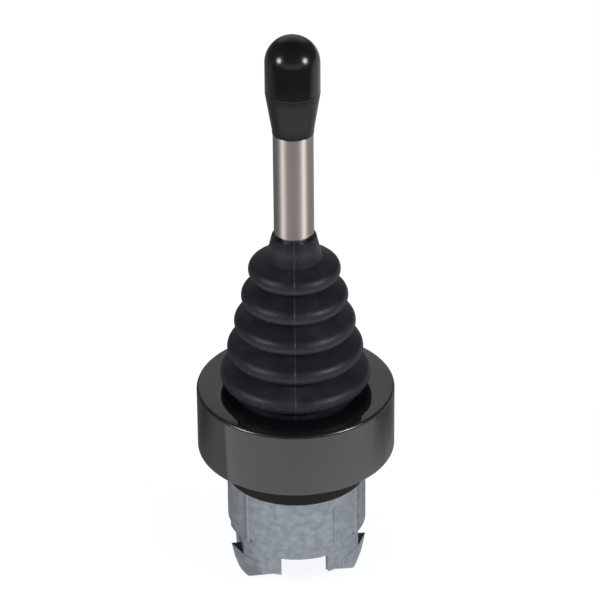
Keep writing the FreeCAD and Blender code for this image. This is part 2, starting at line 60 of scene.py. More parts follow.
# Places read from the frame
def low(node):
    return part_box(node)[0]


def high(node):
    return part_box(node)[1]


bezelTop = high("bezel").z
bezelRadius = high("bezel").x
floorHeight = low("mounting_barrel").z

# Values that several pieces, or a shape and its finish, share
firstFold = bezelTop + 2.45 * mm
foldPitch = 4.61 * mm
lugTop = -15.95 * mm
edgeAngle = math.radians(24)  # edges sharper than this stay sharp
weld = 0.002 * mm  # points closer than this become one


# Node maths

class Term:
    # wraps a number socket, so that node maths reads as a formula
    def __init__(self, tree, socket):
        self.tree = tree
        self.socket = socket

    def math(self, operation, *values):
        node = self.tree.node("ShaderNodeMath", {"operation": operation}, [self, *values])
        return Term(self.tree, node.outputs[0])

    def __add__(self, other):
        return self.math("ADD", other)

    def __radd__(self, other):
        return self.math("ADD", other)

    def __sub__(self, other):
        return self.math("SUBTRACT", other)

    def __rsub__(self, other):
        return self.math("MULTIPLY", -1).math("ADD", other)

    def __mul__(self, other):
        return self.math("MULTIPLY", other)

    def __rmul__(self, other):
        return self.math("MULTIPLY", other)

    def __truediv__(self, other):
        return self.math("DIVIDE", other)

    def band(self, centre, width):
        # 1 on the line at centre, 0 from width away
        return 1 - ((self - centre).math("ABSOLUTE") / width).math("MINIMUM", 1)

    def step(self, start, end):
        # 0 at start, 1 at end, smooth between
        ramp = ((self - start) / (end - start)).math("MAXIMUM", 0).math("MINIMUM", 1)
        return ramp * ramp * (3 - 2 * ramp)


class Tree:
    def __init__(self, nodes, links):
        self.nodes = nodes
        self.links = links

    def node(self, kind, settings=None, values=None):
        # settings go first because they can change the sockets; values are by name, or in order in a list
        made = self.nodes.new(kind)
        for name, setting in (settings or {}).items():
            setattr(made, name, setting)
        pairs = enumerate(values) if isinstance(values, list) else (values or {}).items()
        for name, value in pairs:
            socket = made.inputs[name]
            if isinstance(value, Term):
                value = value.socket
            if isinstance(value, bpy.types.NodeSocket):
                self.links.new(value, socket)
            else:
                socket.default_value = value
        return made

    def term(self, socket):
        return Term(self, socket)


def newFinish(name, settings):
    # a material with one shader; settings are the shader's own sockets
    material = bpy.data.materials.new(name)
    material.use_nodes = True
    tree = Tree(material.node_tree.nodes, material.node_tree.links)
    tree.shader = tree.nodes["Principled BSDF"]
    for socket, value in settings.items():
        tree.shader.inputs[socket].default_value = value
    coordinate = tree.node("ShaderNodeTexCoord")
    tree.place = coordinate.outputs["Object"]
    split = tree.node("ShaderNodeSeparateXYZ", values={"Vector": tree.place})
    tree.x, tree.y, tree.z = (tree.term(split.outputs[axis]) for axis in "XYZ")
    tree.material = material
    return tree


def noise(tree, scale, detail, stretch=None):
    place = tree.place
    if stretch:
        mapping = tree.node("ShaderNodeMapping", values={"Vector": place, "Scale": stretch})
        place = mapping.outputs["Vector"]
    made = tree.node("ShaderNodeTexNoise", values={"Vector": place, "Scale": scale, "Detail": detail})
    return tree.term(made.outputs[0])


def fromAxis(tree):
    return (tree.x * tree.x + tree.y * tree.y).math("SQRT")


def mixColour(tree, factor, first, second):
    made = tree.node("ShaderNodeMix", {"data_type": "RGBA"}, {0: factor, 6: first, 7: second})
    return made.outputs[2]


def feed(tree, socket, value):
    tree.links.new(value.socket if isinstance(value, Term) else value, tree.shader.inputs[socket])


def bump(tree, height, distance, strength=1.0):
    made = tree.node("ShaderNodeBump", values={"Strength": strength, "Distance": distance, "Height": height})
    tree.links.new(made.outputs[0], tree.shader.inputs["Normal"])


# Finishes: a grain is a noise's scale and detail, the other pairs are where a smooth step starts and ends

knobLook = {
    "colour": (0.0085, 0.0085, 0.0100, 1), "ior": 1.48, "roughness": 0.19, "taperRougher": 0.14,
    "scuffRougher": 0.25, "grainRougher": 0.04, "grain": (300, 3), "scuffGrain": (900, 4),
    "bumpGrain": (1500, 2), "bump": 0.02 * mm, "scuffBump": 0.3, "grainBump": 0.1,
    "partingHeight": high("knob").z - 8.8 * mm, "partingWidth": 0.10 * mm,
    "partingBelow": 0.4 * mm, "partingAbove": 0.2 * mm,
    "scuffAmount": (0.62, 0.75), "scuffSide": (0.5 * mm, 2.2 * mm),
}


def knobFinish():
    look = knobLook
    tree = newFinish("knobPlastic", {"Base Color": look["colour"], "IOR": look["ior"]})
    parting = look["partingHeight"]
    taper = 1 - tree.z.step(parting - look["partingBelow"], parting + look["partingAbove"])
    worn = noise(tree, *look["scuffGrain"]).step(*look["scuffAmount"])
    scuffed = worn * taper * tree.x.step(*look["scuffSide"])
    rougher = look["taperRougher"] * taper + look["scuffRougher"] * scuffed
    feed(tree, "Roughness", look["roughness"] + rougher + look["grainRougher"] * noise(tree, *look["grain"]))
    line = tree.z.band(parting, look["partingWidth"])
    grain = look["grainBump"] * noise(tree, *look["bumpGrain"])
    bump(tree, line + look["scuffBump"] * scuffed + grain, look["bump"])
    return tree.material


sleeveLook = {
    "colour": (0.66, 0.595, 0.56, 1), "anisotropic": 0.85, "grainTurn": 0.25, "roughness": 0.47,
    "ringGrain": (60, 3), "ringStretch": (1, 1, 60), "ringRougher": 0.12,
    "streakGrain": (700, 2), "streakStretch": (1, 1, 0.02), "streakRougher": 0.05,
    "scratchGrain": (2500, 2), "scratchStretch": (1, 1, 0.2), "bump": 0.006 * mm,
    "ringBump": 0.7, "scratchBump": 0.3,
}


def sleeveFinish():
    look = sleeveLook
    tree = newFinish("satinSteel", {
        "Base Color": look["colour"], "Metallic": 1.0, "Anisotropic": look["anisotropic"],
        "Anisotropic Rotation": look["grainTurn"]})
    rings = noise(tree, *look["ringGrain"], look["ringStretch"])
    streaks = noise(tree, *look["streakGrain"], look["streakStretch"])
    scratches = noise(tree, *look["scratchGrain"], look["scratchStretch"])
    feed(tree, "Roughness", look["roughness"] + look["ringRougher"] * rings + look["streakRougher"] * streaks)
    bump(tree, look["ringBump"] * rings + look["scratchBump"] * scratches, look["bump"])
    return tree.material


bootLook = {
    "colour": (0.0090, 0.0092, 0.0155, 1), "dust": (0.0190, 0.0192, 0.0305, 1), "dustAmount": (0.45, 0.8),
    "ior": 1.45, "roughness": 0.36, "mottleGrain": (260, 5), "mottleRougher": 0.14, "mottleBump": 0.12,
    "fineGrain": (2600, 3), "fineRougher": 0.12, "fineBump": 0.5, "bump": 0.05 * mm, "bumpStrength": 0.8,
    "seam": (0.045, 0.046, 0.058, 1), "seamWidth": 0.11 * mm, "seamTurn": math.radians(7),
    "crest": (0.036, 0.037, 0.050, 1), "crestPlace": -0.1, "crestWidth": 0.26,  # crest is a painted highlight colour; crestPlace and crestWidth are in folds
    "crestAmount": (0.42, 0.66), "crestLeast": 0.35,
}


def bootFinish():
    look = bootLook
    tree = newFinish("bootRubber", {"IOR": look["ior"]})
    mottle = noise(tree, *look["mottleGrain"])
    fine = noise(tree, *look["fineGrain"])
    across = tree.x * math.cos(look["seamTurn"]) - tree.y * math.sin(look["seamTurn"])
    seam = across.band(0, look["seamWidth"])
    rubber = mixColour(tree, mottle.step(*look["dustAmount"]), look["colour"], look["dust"])
    folds = (tree.z - firstFold) / foldPitch + 0.5  # counts up the boot, a half on each crest
    # painted highlight: a lighter band across each fold's crest, broken up by the fine speckle
    crest = (folds - folds.math("FLOOR") - 0.5).band(look["crestPlace"], look["crestWidth"])
    crestHighlight = crest * (look["crestLeast"] + (1 - look["crestLeast"]) * fine.step(*look["crestAmount"]))
    rubber = mixColour(tree, crestHighlight, rubber, look["crest"])
    feed(tree, "Base Color", mixColour(tree, seam, rubber, look["seam"]))
    feed(tree, "Roughness", look["roughness"] + look["mottleRougher"] * mottle + look["fineRougher"] * fine)
    skin = look["fineBump"] * fine + look["mottleBump"] * mottle
    bump(tree, seam + skin, look["bump"], look["bumpStrength"])
    return tree.material


bezelLook = {
    "colour": (0.005, 0.005, 0.0062, 1), "ior": 1.78, "roughness": 0.05,
    "grain": (120, 2), "grainRougher": 0.03, "waveGrain": (90, 1), "wave": 0.004 * mm, "waveStrength": 0.5,
    "rimHeight": 0.7 * mm, "rimStart": 0.6 * mm, "rimEnd": 0.3 * mm, "rimRougher": 0.3,
}


def bezelFinish():
    look = bezelLook
    tree = newFinish("bezelPlastic", {"Base Color": look["colour"], "IOR": look["ior"]})
    outer = fromAxis(tree).step(bezelRadius - look["rimStart"], bezelRadius - look["rimEnd"])
    rim = tree.z.band(bezelTop, look["rimHeight"]) * outer
    rougher = look["grainRougher"] * noise(tree, *look["grain"]) + look["rimRougher"] * rim
    feed(tree, "Roughness", look["roughness"] + rougher)
    bump(tree, noise(tree, *look["waveGrain"]), look["wave"], look["waveStrength"])
    return tree.material


gasketLook = {
    "colour": (0.0045, 0.0045, 0.0055, 1), "ior": 1.3, "roughness": 0.42, "grain": (500, 3),
    "grainRougher": 0.15, "bumpGrain": (1800, 3), "bump": 0.02 * mm,
}


def gasketFinish():
    look = gasketLook
    tree = newFinish("gasketRubber", {"Base Color": look["colour"], "IOR": look["ior"]})
    feed(tree, "Roughness", look["roughness"] + look["grainRougher"] * noise(tree, *look["grain"]))
    bump(tree, noise(tree, *look["bumpGrain"]), look["bump"])
    return tree.material


# groove is a painted shade colour for the grooves, edge a painted highlight colour for the edges beside them
# and the laps
castLook = {
    "light": (0.37, 0.40, 0.43, 1), "dark": (0.26, 0.285, 0.315, 1), "edge": (0.62, 0.63, 0.64, 1),
    "shadow": (0.035, 0.038, 0.045, 1), "groove": (0.17, 0.18, 0.19, 1), "metallic": 0.75,
    "cloudGrain": (900, 5), "cloudShare": 0.8, "patchGrain": (200, 3), "skinAmount": (0.3, 0.72),
    "roughness": 0.40, "patchRougher": 0.2, "fineGrain": (3000, 3), "fineBump": 0.5, "bump": 0.04 * mm,
    "bumpStrength": 0.7, "grooveShadeAmount": 0.6, "edgeHighlightAmount": 0.5, "lapHighlightAmount": 0.4, "wallShadeAmount": 0.8,
    "frontEdge": (1 * mm, 2 * mm),
    "upperEnd": -12.5 * mm, "upperBelow": 0.1 * mm, "upperAbove": 0.3 * mm, "lowerFade": 0.4 * mm,
    "edgePlace": 8.62 * mm, "edgeWidth": 0.17 * mm, "groovePlace": 9.0 * mm, "grooveWidth": 0.32 * mm,
    "lapPlace": 6.35 * mm, "lapWidth": 0.2 * mm, "ledgeHeight": 0.05 * mm, "ledgeEdge": (9.3 * mm, 9.4 * mm),
    "wallHeight": 2.8 * mm, "wallEdge": (9.05 * mm, 9.3 * mm),
}


def castFinish():
    look = castLook
    tree = newFinish("castZinc", {"Metallic": look["metallic"]})
    cloud = noise(tree, *look["cloudGrain"])
    patch = noise(tree, *look["patchGrain"])
    cloudy = look["cloudShare"] * cloud + (1 - look["cloudShare"]) * patch
    skin = mixColour(tree, cloudy.step(*look["skinAmount"]), look["dark"], look["light"])
    # painted shade darkens the grooves, and painted highlights lighten the edges beside them and beside the
    # laps
    aside = tree.x.math("ABSOLUTE")
    front = (-1 * tree.y).step(*look["frontEdge"])
    upper = tree.z.step(look["upperEnd"] - look["upperBelow"], look["upperEnd"] + look["upperAbove"]) * front
    lower = (1 - tree.z.step(lugTop - look["lowerFade"], lugTop)) * front
    groove = aside.band(look["groovePlace"], look["grooveWidth"]) * upper
    edge = aside.band(look["edgePlace"], look["edgeWidth"]) * upper
    lap = aside.band(look["lapPlace"], look["lapWidth"]) * lower
    # painted shade: the ledge on each lug and the wall over it, darkened towards the shadow colour where the
    # notch shades them
    ledgeShade = tree.z.band(lugTop, look["ledgeHeight"]) * aside.step(*look["ledgeEdge"])
    overLug = tree.z.step(lugTop - look["ledgeHeight"], lugTop)
    wall = (1 - tree.z.step(lugTop, lugTop + look["wallHeight"])) * overLug * aside.step(*look["wallEdge"])
    shade = (ledgeShade + look["wallShadeAmount"] * wall).math("MINIMUM", 1)
    paintedHighlight = (look["edgeHighlightAmount"] * edge + look["lapHighlightAmount"] * lap).math("MINIMUM", 1)
    # painted shade into the grooves, then painted highlights onto the edges and laps
    skin = mixColour(tree, look["grooveShadeAmount"] * groove, skin, look["groove"])
    skin = mixColour(tree, paintedHighlight, skin, look["edge"])
    # painted shade on the lug ledges and walls
    feed(tree, "Base Color", mixColour(tree, shade, skin, look["shadow"]))
    feed(tree, "Roughness", look["roughness"] + look["patchRougher"] * patch)
    fine = look["fineBump"] * noise(tree, *look["fineGrain"])
    bump(tree, cloud + fine, look["bump"], look["bumpStrength"])
    return tree.material


plainLook = {"grain": (400, 3), "grainRougher": 0.08}


def plainFinish(name, colour, roughness, metallic=0.0):
    tree = newFinish(name, {"Base Color": colour, "Metallic": metallic})
    feed(tree, "Roughness", roughness + plainLook["grainRougher"] * noise(tree, *plainLook["grain"]))
    return tree.material


finishes = {
    "knob_plastic": knobFinish(),
    "satin_tube": sleeveFinish(),
    "boot_rubber": bootFinish(),
    "bezel_plastic": bezelFinish(),
    "gasket_rubber": gasketFinish(),
    "cast_barrel": castFinish(),
    "black_nylon": plainFinish("blackNylon", (0.022, 0.022, 0.023, 1), 0.5),
    "white_acetal": plainFinish("whiteAcetal", (0.72, 0.71, 0.67, 1), 0.35),
    "bronze": plainFinish("bronze", (0.60, 0.40, 0.17, 1), 0.3, 1.0),
    "steel": plainFinish("steel", (0.56, 0.56, 0.57, 1), 0.3, 1.0),
    "spring_steel": plainFinish("springSteel", (0.42, 0.42, 0.43, 1), 0.3, 1.0),
}
print("finishes made:", len(finishes))


# Pieces from the frame

def smooth(mesh, angle):
    # merged, with edges sharper than the angle kept
    work = bmesh.new()
    work.from_mesh(mesh)
    bmesh.ops.remove_doubles(work, verts=work.verts, dist=weld)
    for face in work.faces:
        face.smooth = True
    for edge in work.edges:
        edge.smooth = len(edge.link_faces) == 2 and edge.calc_face_angle(0) < angle
    work.to_mesh(mesh)
    work.free()


def addObject(name, data):
    obj = bpy.data.objects.new(name, data)
    scene.collection.objects.link(obj)
    return obj


def finished(obj):
    # the object's mesh with its modifiers applied
    return bpy.data.meshes.new_from_object(obj.evaluated_get(bpy.context.evaluated_depsgraph_get()))


def dress(obj, slotName, node):
    # gives a piece its finish and slot and lets it stand for its node
    obj.data.materials.clear()
    obj.data.materials.append(finishes[slotName])
    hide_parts(node)


slotOf = {entry["node"]: entry["material_slot"] for entry in frame["record"]["subparts"]}
bodyOf = {}
for bodyName, names in frame["record"]["behaviour"]["bodies"].items():
    for name in names:
        bodyOf[name] = bodyName

dressed = [name for name in frame["nodes"] if name not in ("boot", "mounting_barrel")]
for name in dressed:
    mesh = frame["nodes"][name].data.copy()
    mesh.name = name + "_skin"
    smooth(mesh, edgeAngle)
    skin = addObject(name + "_skin", mesh)
    dress(skin, slotOf[name], name)
    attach(skin, bodyOf[name])
print("pieces dressed from the frame:", len(dressed))


# Barrel: turned, then cut with its panel, steps, slot, feet, notches, lugs and grooves

cast = {
    "radius": 11.0 * mm, "neckRadius": 10.3 * mm, "sleeveEnd": -3.5 * mm,
    "headRadius": high("mounting_barrel").x, "headLow": 1.2 * mm, "headTop": high("mounting_barrel").z,
    "headBore": 11.0 * mm, "mainBore": 9.2 * mm, "footBore": 8.0 * mm,
    "carrierSeat": 2.0 * mm, "guideSeat": -13.6 * mm, "segments": 192,
    "panelTop": -4.9 * mm, "panelRadius": 10.94 * mm, "panelTurn": math.radians(25),
    "stepTop": -11.95 * mm, "stepRadius": 10.55 * mm, "stepTurn": math.radians(49.5),
    "sideTop": -12.55 * mm, "sideTurn": math.radians(82), "skirtTurn": math.radians(36.5),
    "lapRadius": 10.6 * mm, "lapTurn": math.radians(61),
    "slotHalf": 3.7 * mm, "slotTop": -14.25 * mm, "skirtEnd": -17.35 * mm, "skirtReach": 9.25 * mm,
    "foot": low("mounting_barrel").z, "footHalf": 3.6 * mm, "footRadius": 8.95 * mm,
    "footShoulder": 9.8 * mm, "footBevel": 0.95 * mm,
    "notchFlat": 9.47 * mm, "notchFront": -6.5 * mm, "notchLean": 0.35 * mm,
    "lugRadius": 10.95 * mm, "lugPlace": -1.85 * mm, "lugTip": 10.81 * mm, "lugLean": 0.4635,
    "lugWaist": 10.45 * mm, "lugWaistHeight": -18.5 * mm,
    "reliefTop": -11.7 * mm, "reliefFlat": 9.43 * mm,
    "groove": 0.6 * mm, "grooveReach": 11.2 * mm, "grooveTurn": math.radians(52.5), "grooveSides": 20,
    "grooveBelow": 0.1 * mm, "grooveGap": 0.01 * mm,
    "over": 1.0 * mm, "overlap": math.radians(3),  # cutters run past the skin and into each other
}


def closedMesh(work, name):
    bmesh.ops.recalc_face_normals(work, faces=work.faces)
    mesh = bpy.data.meshes.new(name)
    work.to_mesh(mesh)
    work.free()
    return mesh


def lathe(outline, segments):
    # a closed outline of radius and height, turned round the Z axis
    work = bmesh.new()
    rings = []
    for step in range(segments):
        turn = 2 * math.pi * step / segments
        rings.append([work.verts.new((r * math.cos(turn), r * math.sin(turn), z)) for r, z in outline])
    for ring, following in zip(rings, rings[1:] + rings[:1]):
        for corner in range(len(outline)):
            after = (corner + 1) % len(outline)
            work.faces.new((ring[corner], following[corner], following[after], ring[after]))
    return closedMesh(work, "lathe")


def prism(corners, axis, start, end):
    # corners lie across the axis, in the order of the other two
    order = {"X": (2, 0, 1), "Y": (0, 2, 1), "Z": (0, 1, 2)}[axis]
    work = bmesh.new()
    ends = []
    for along in (start, end):
        spots = [(*corner, along) for corner in corners]
        ends.append([work.verts.new([spot[place] for place in order]) for spot in spots])
    work.faces.new(ends[0])
    work.faces.new(ends[1])
    for corner in range(len(corners)):
        work.faces.new((ends[0][corner - 1], ends[0][corner], ends[1][corner], ends[1][corner - 1]))
    return closedMesh(work, "prism")


def sector(middle, half, inner, outer, start, end):
    # a piece of a ring, half its turn to either side of its middle
    steps = round(half / math.pi * cast["segments"])
    turns = [middle - half + 2 * half * step / steps for step in range(steps + 1)]
    corners = [(inner * math.cos(turn), inner * math.sin(turn)) for turn in turns]
    corners += [(outer * math.cos(turn), outer * math.sin(turn)) for turn in reversed(turns)]
    return prism(corners, "Z", start, end)


def carved(mesh, cutters):
    obj = addObject("carved", mesh)
    tools = []
    for cutter in cutters:
        tool = addObject("cutter", cutter)
        cut = obj.modifiers.new("cut", "BOOLEAN")
        cut.operation = "DIFFERENCE"
        cut.solver = "EXACT"
        cut.object = tool
        tools.append(tool)
    made = finished(obj)
    for piece in (obj, *tools):
        bpy.data.objects.remove(piece)
    return made


cutReach = cast["radius"] + cast["over"]
cutFloor = cast["foot"] - cast["over"]


def panelCutters():
    # the front's panel, then the steps, skirts and laps on the front and the back
    front = -math.pi / 2
    lapTop = lugTop + cast["over"]
    between = (cast["sideTurn"] - cast["stepTurn"] + cast["overlap"]) / 2
    stepInner, lapInner = cast["stepRadius"], cast["lapRadius"]
    cutters = [sector(
        front, cast["panelTurn"], cast["panelRadius"], cutReach, cast["stepTop"], cast["panelTop"])]
    for middle in (front, -front):
        cutters.append(sector(middle, cast["stepTurn"], stepInner, cutReach, lugTop, cast["stepTop"]))
        cutters.append(sector(middle, cast["skirtTurn"], stepInner, cutReach, cutFloor, lapTop))
        cutters.append(sector(middle, cast["lapTurn"], lapInner, cutReach, cutFloor, lapTop))
        for side in (-1, 1):
            turn = middle + side * (cast["sideTurn"] - between)
            cutters.append(sector(turn, between, stepInner, cutReach, lugTop, cast["sideTop"]))
    return cutters


def slotCutter():
    half, top = cast["slotHalf"], cast["slotTop"]
    return prism([(-half, cutFloor), (half, cutFloor), (half, top), (-half, top)], "Y", -cutReach, cutReach)


def footCutter(side):
    return prism([
        (side * cast["skirtReach"], cast["skirtEnd"]), (side * cutReach, cast["skirtEnd"]),
        (side * cutReach, cutFloor), (side * cast["footHalf"], cutFloor),
        (side * cast["footHalf"], cast["foot"])], "X", -cutReach, cutReach)


def lugCutters(side):
    # the notch over a lug, the lug's leaning front and the flat behind it
    front, place = cast["notchFront"], cast["lugPlace"]
    back = place + cast["over"]
    notch, relief = side * cast["notchFlat"], side * cast["reliefFlat"]
    tipBack = cast["lugTip"] + cast["lugLean"] * cast["over"]
    tipFront = cast["lugTip"] + cast["lugLean"] * (front - place)
    return [
        prism([(notch, back), (side * cutReach, back), (side * cutReach, front),
               (notch - side * cast["notchLean"], front)], "Z", lugTop, cast["sideTop"]),
        prism([(side * tipBack, back), (side * cutReach, back), (side * cutReach, front),
               (side * tipFront, front)], "Z", cutFloor, lugTop + cast["over"]),
        prism([(relief, place), (side * cutReach, place), (side * cutReach, cutReach),
               (relief, cutReach)], "Z", cutFloor, cast["reliefTop"])]


def grooveCutters(side):
    cutters = []
    groove, sides = cast["groove"], cast["grooveSides"]
    for turn in (cast["grooveTurn"], -cast["grooveTurn"]):
        centre = Vector((side * math.sin(turn), math.cos(turn))) * cast["grooveReach"]
        ring = [2 * math.pi * step / sides for step in range(sides)]
        corners = [(centre.x + groove * math.cos(a), centre.y + groove * math.sin(a)) for a in ring]
        cutters.append(prism(
            corners, "Z", cast["sideTop"] - cast["grooveBelow"], cast["sleeveEnd"] - cast["grooveGap"]))
    return cutters


def barrelCutters():
    cutters = [*panelCutters(), slotCutter()]
    for side in (-1, 1):
        cutters += [footCutter(side), *lugCutters(side), *grooveCutters(side)]
    return cutters


turnedBarrel = lathe([
    (cast["headBore"], cast["headTop"]), (cast["headBore"], cast["carrierSeat"]),
    (cast["mainBore"], cast["carrierSeat"]), (cast["mainBore"], cast["guideSeat"]),
    (cast["footBore"], cast["guideSeat"]), (cast["footBore"], cast["foot"]),
    (cast["footRadius"], cast["foot"]), (cast["footShoulder"], cast["foot"] + cast["footBevel"]),
    (cast["lugWaist"], cast["lugWaistHeight"]), (cast["lugRadius"], lugTop), (cast["radius"], lugTop),
    (cast["radius"], cast["sleeveEnd"]), (cast["neckRadius"], cast["sleeveEnd"]),
    (cast["neckRadius"], cast["headLow"]), (cast["headRadius"], cast["headLow"]),
    (cast["headRadius"], cast["headTop"])], cast["segments"])
barrelMesh = carved(turnedBarrel, barrelCutters())
smooth(barrelMesh, edgeAngle)
barrelSkin = addObject("mounting_barrel_skin", barrelMesh)
dress(barrelSkin, "cast_barrel", "mounting_barrel")
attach(barrelSkin, bodyOf["mounting_barrel"])
print("barrel faces:", len(barrelMesh.polygons))


# Boot: folds grown by Geometry Nodes, in two pieces split at a crease

boot = {
    "folds": 5, "firstHeight": firstFold, "pitch": foldPitch, "reach": 11.78 * mm, "shrink": 1.155 * mm,
    "ridge": 1.45 * mm, "under": math.radians(75), "over": math.radians(62),
    "depth": 2.9 * mm, "crease": 0.54,
    "neck": 10.1 * mm, "neckBase": low("boot").z + 0.6 * mm, "neckHeight": bezelTop + 0.4 * mm,
    "collarBase": 4.35 * mm, "collarLow": high("boot").z - 3.75 * mm,
    "collarRadius": 3.45 * mm, "collarTop": high("boot").z - 0.01 * mm, "bore": 2.62 * mm,
    "segments": 192, "ridgeSteps": 14, "wall": 0.6 * mm, "edgeAngle": math.radians(40), "weld": 0.01 * mm,
    "splitFold": 0, "splitGap": 0.2 * mm, "bendFolds": 4.3,
}
bootInputs = {
    "Folds": "folds", "Segments": "segments", "Ridge Steps": "ridgeSteps", "First Height": "firstHeight",
    "Pitch": "pitch", "Reach": "reach", "Shrink": "shrink", "Ridge": "ridge", "Depth": "depth",
    "Crease": "crease", "Under": "under", "Over": "over", "Neck": "neck", "Neck Base": "neckBase",
    "Neck Height": "neckHeight", "Collar Base": "collarBase", "Collar Low": "collarLow",
    "Collar Radius": "collarRadius", "Collar Top": "collarTop", "Bore": "bore",
}


def bootTree():
    # a grid wrapped round the Z axis; rows run up the outline, fold by fold
    group = bpy.data.node_groups.new("bellows", "GeometryNodeTree")
    tree = Tree(group.nodes, group.links)
    identifiers = {}
    kinds = {"Folds": "Int", "Segments": "Int", "Ridge Steps": "Int", "Skin": "Material"}
    for name in (*bootInputs, "Skin"):
        kind = kinds.get(name, "Float")
        socket = group.interface.new_socket(name, in_out="INPUT", socket_type="NodeSocket" + kind)
        identifiers[name] = socket.identifier
    group.interface.new_socket("Boot", in_out="OUTPUT", socket_type="NodeSocketGeometry")
    given = tree.node("NodeGroupInput")
    term = {name: tree.term(given.outputs[name]) for name in bootInputs}

    # rows: two of the neck, a ridge and a crease for each fold, two of the collar's top
    neckRows = 2
    topRows = 2
    nudge = 0.0001  # keeps a whole number whole when it is rounded down
    foldRows = term["Ridge Steps"] + 2
    lastFoldRow = neckRows + term["Folds"] * foldRows
    columns = term["Segments"] + 1
    grid = tree.node("GeometryNodeMeshGrid", values={
        "Vertices X": lastFoldRow + topRows, "Vertices Y": columns})
    index = tree.term(tree.node("GeometryNodeInputIndex").outputs[0])
    row = (index / columns + nudge).math("FLOOR")
    turn = (index - row * columns) / term["Segments"] * (2 * math.pi)
    fold = ((row - neckRows) / foldRows + nudge).math("FLOOR")
    place = row - neckRows - fold * foldRows

    # ridge, and the crease over it
    swing = place / term["Ridge Steps"] * (term["Under"] + term["Over"]) - term["Under"]
    reach = term["Reach"] - fold * term["Shrink"]
    base = term["First Height"] + fold * term["Pitch"]
    isCrease = place.math("GREATER_THAN", term["Ridge Steps"] + 0.5)
    ridgeRadius = reach - term["Ridge"] + term["Ridge"] * swing.math("COSINE")
    ridgeHeight = base + term["Ridge"] * swing.math("SINE")
    isLast = fold.math("GREATER_THAN", term["Folds"] - 1.5)
    creaseRadius = (reach - term["Depth"]) * (1 - isLast) + term["Collar Base"] * isLast
    creaseHeight = (base + term["Crease"] * term["Pitch"]) * (1 - isLast) + term["Collar Low"] * isLast
    foldRadius = ridgeRadius * (1 - isCrease) + creaseRadius * isCrease
    foldHeight = ridgeHeight * (1 - isCrease) + creaseHeight * isCrease

    # neck and collar
    isNeck = row.math("LESS_THAN", neckRows - 0.5)
    isTop = row.math("GREATER_THAN", lastFoldRow - 0.5)
    isFold = 1 - isNeck - isTop
    isRim = row.math("GREATER_THAN", lastFoldRow + 0.5)
    neckHeight = term["Neck Base"] + (term["Neck Height"] - term["Neck Base"]) * row.math("MINIMUM", 1)
    topRadius = term["Collar Radius"] * (1 - isRim) + term["Bore"] * isRim
    radius = term["Neck"] * isNeck + foldRadius * isFold + topRadius * isTop
    height = neckHeight * isNeck + foldHeight * isFold + term["Collar Top"] * isTop

    spot = tree.node("ShaderNodeCombineXYZ", values={
        "X": radius * turn.math("COSINE"), "Y": radius * turn.math("SINE"), "Z": height})
    wrapped = tree.node("GeometryNodeSetPosition", values={
        "Geometry": grid.outputs["Mesh"], "Position": spot.outputs[0]})
    closed = tree.node("GeometryNodeMergeByDistance", values={
        "Geometry": wrapped.outputs[0], "Distance": boot["weld"]})
    facing = tree.node("GeometryNodeFlipFaces", values={"Mesh": closed.outputs[0]})
    real = tree.node("GeometryNodeRealizeInstances", values={"Geometry": facing.outputs[0]})
    skinned = tree.node("GeometryNodeSetMaterial", values={
        "Geometry": real.outputs[0], "Material": given.outputs["Skin"]})
    tree.node("NodeGroupOutput", values={"Boot": skinned.outputs[0]})
    return group, identifiers


def grownBoot():
    seed = addObject("bootSeed", bpy.data.meshes.new("bootSeed"))
    group, identifiers = bootTree()
    grow = seed.modifiers.new("grow", "NODES")
    grow.node_group = group
    for name, key in bootInputs.items():
        grow[identifiers[name]] = boot[key]
    grow[identifiers["Skin"]] = finishes["boot_rubber"]
    mesh = finished(seed)
    bpy.data.objects.remove(seed)
    return mesh


def bootPiece(name, mesh, keep):
    # the part of the boot that keep says yes to, with its wall
    work = bmesh.new()
    work.from_mesh(mesh)
    others = [face for face in work.faces if not keep(face.calc_center_median().z)]
    bmesh.ops.delete(work, geom=others, context="FACES")
    piece = bpy.data.meshes.new(name)
    work.to_mesh(piece)
    work.free()
    obj = addObject(name, piece)
    wall = obj.modifiers.new("wall", "SOLIDIFY")
    wall.thickness = boot["wall"]
    wall.offset = -1
    solid = finished(obj)
    obj.modifiers.clear()
    obj.data = solid
    smooth(solid, boot["edgeAngle"])
    dress(obj, "boot_rubber", "boot")
    return obj


bootMesh = grownBoot()
outward = sum(face.normal.dot(face.center * Vector((1, 1, 0))) for face in bootMesh.polygons)
print("boot faces:", len(bootMesh.polygons), "outward:", outward > 0)
splitHeight = boot["firstHeight"] + (boot["splitFold"] + boot["crease"]) * boot["pitch"]
bootLower = bootPiece("bootLower", bootMesh, lambda height: height < splitHeight)
bootUpper = bootPiece("bootUpper", bootMesh, lambda height: height > splitHeight)
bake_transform(bootLower)
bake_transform(bootUpper)


# Studio

camera = {
    "lens": 214.09, "sensor": 36, "distance": 560 * mm, "near": 0.01, "far": 10,
    "elevation": math.radians(31.908), "roll": math.radians(0.571), "turn": math.radians(6.8),
    "pixels": 3568.13, "aimAcross": 5.3, "aimUp": 83.26,  # the lens and the aim in pixels of the photograph
}
lamps = {
    "lampLeft": {"azimuth": math.radians(-61), "size": 125 * mm, "power": 0.85},
    "lampRight": {"azimuth": math.radians(58), "size": 130 * mm, "power": 1.0},
}
lampRise = math.radians(24)
lampDistance = 450 * mm
lampAim = 30 * mm


